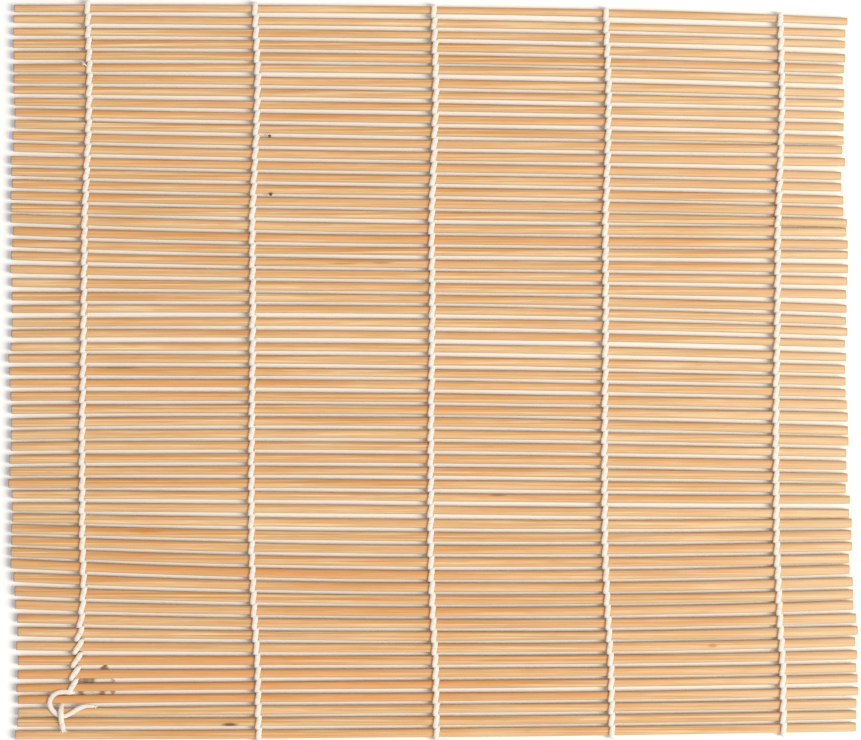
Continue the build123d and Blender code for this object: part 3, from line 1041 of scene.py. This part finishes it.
def chip(x, y):
    """Rings whose radius is the square root of a half sine wave along X: a rounded grain."""
    share = np.linspace(0.02, 0.98, ALONG_CHIP)
    radius = np.sqrt(np.sin(math.pi * share))[:, None]
    angle = np.linspace(0, 2 * math.pi, AROUND_CHIP, endpoint=False)
    along = (x + (share - 0.5) * CHIP_LENGTH)[:, None]
    rings = np.stack([np.broadcast_to(along, (ALONG_CHIP, AROUND_CHIP)),
                      y + CHIP_WIDTH / 2 * radius * np.cos(angle),
                      MIDDLE + CHIP_RAISED + CHIP_HEIGHT / 2 * radius * np.sin(angle)], -1)
    blank = np.zeros(rings.shape)
    return {"rings": rings, "slat_look": blank, "slat_end": blank}


for name, number, x, y in (("chip_low", 44, -46.1, 51.0), ("chip_high", 49, -46.4, 67.7)):
    made = tubes_object(name, [chip(x * MM, y * MM)], BAMBOO)
    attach(made, body_of_slat(number)[0])

pulled = tuft(np.array((-98.6, 87.6, 3.0)) * MM, np.array((-0.9, 0.3, 0.1)), 7, 2.2 * MM, 0.5)
made = tubes_object("pulled_fibre", pulled, COTTON)
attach(made, body_of_slat(56)[0])
print("chips: 2, fibres:", len(pulled))

# %% [markdown]
# ## Floor and light
#
# The mat lies on a plain white surface, which takes its shadow. Seen by the camera the floor also
# glows, a little near the mat and more far away, so that the far floor is as white as the sky
# without more light on the mat. The near glow is warm: it is painted light, standing in for the
# light that the slats bounce onto the table in the gaps. The light is one soft lamp on the right, a
# little below the mat's middle, and an even sky. The lamp is a long ellipse in line with the slats,
# so that its light reaches the table through the gaps, and these are almost as white as the open
# table. The lamp is a little warm and the sky a little cool: together they are neutral, the gaps,
# which see mostly the lamp and the warm glow, turn cream, and the shadows slightly blue. The sky is
# plain white where the camera sees it.

# %% Floor
FLOOR_REACH = 1.5
GLOW_START, GLOW_END = 0.25, 1.2
# The near glow is warm painted light: the light that the slats bounce onto the table in the gaps.
PAINTED_BOUNCE_GLOW, FAR_GLOW = 0.1, 0.75
PAINTED_BOUNCE_COLOUR, WHITE = (1, 0.75, 0.45, 1), (1, 1, 1, 1)


def table_material():
    """Matt white. Its glow for the camera: warm painted bounce light, plus the far glow by
    distance.
    """
    material, tree, shader = new_material("white_table")
    shader.inputs["Base Color"].default_value = screen_colour(249, 250, 250)
    shader.inputs["Roughness"].default_value = 0.9
    shader.inputs["Specular IOR Level"].default_value = 0.1
    place = tree.nodes.new("ShaderNodeTexCoord").outputs["Object"]
    far = map_range(tree, vector_maths(tree, "LENGTH", place), GLOW_START, GLOW_END)
    glow = calculate(tree, "MULTIPLY_ADD", far, FAR_GLOW, PAINTED_BOUNCE_GLOW)
    seen = tree.nodes.new("ShaderNodeLightPath").outputs["Is Camera Ray"]
    join(tree, lay_over(tree, PAINTED_BOUNCE_COLOUR, far, WHITE), shader.inputs["Emission Color"])
    join(tree, calculate(tree, "MULTIPLY", seen, glow), shader.inputs["Emission Strength"])
    return material


floor_mesh = bpy.data.meshes.new("floor")
corners = FLOOR_REACH * np.array(((-1, -1, 0), (1, -1, 0), (1, 1, 0), (-1, 1, 0)))
floor_mesh.from_pydata(corners.tolist(), [], [(0, 1, 2, 3)])
floor_mesh.materials.append(table_material())
floor = bpy.data.objects.new("floor", floor_mesh)
bpy.context.scene.collection.objects.link(floor)
print("floor, m:", [round(side, 2) for side in floor.dimensions])

# %% Lamp
LAMP_PLACE = (1.1, -0.23, 1.5)
LAMP_WIDTH, LAMP_LENGTH, LAMP_WATTS = 0.78, 1.35, 27.6
WARM_WHITE = (1, 0.925, 0.78)

lamp_data = bpy.data.lights.new("key", "AREA")
lamp_data.shape = "ELLIPSE"
lamp_data.size = LAMP_WIDTH
lamp_data.size_y = LAMP_LENGTH
lamp_data.energy = LAMP_WATTS
lamp_data.color = WARM_WHITE
lamp = bpy.data.objects.new("key", lamp_data)
lamp.location = LAMP_PLACE
lamp.rotation_euler = (-lamp.location).to_track_quat("-Z", "Y").to_euler()
bpy.context.scene.collection.objects.link(lamp)
print("lamp to mat, m:", round(lamp.location.length, 2))

# %% Sky
SKY_STRENGTH = 0.59
COOL_WHITE = (0.8, 0.865, 1, 1)

world = bpy.data.worlds.new("sky")
world.use_nodes = True
tree = world.node_tree
rays = tree.nodes.new("ShaderNodeLightPath").outputs
seen = calculate(tree, "MAXIMUM", rays["Is Camera Ray"], rays["Is Glossy Ray"])
seen = calculate(tree, "MAXIMUM", seen, rays["Is Transmission Ray"])
strength = calculate(tree, "MULTIPLY_ADD", seen, 1 - SKY_STRENGTH, SKY_STRENGTH)
background = tree.nodes["Background"]
join(tree, lay_over(tree, COOL_WHITE, seen, WHITE), background.inputs["Color"])
join(tree, strength, background.inputs["Strength"])
bpy.context.scene.world = world
bpy.context.scene.view_settings.view_transform = "Standard"
print("sky's strength on the mat:", SKY_STRENGTH)
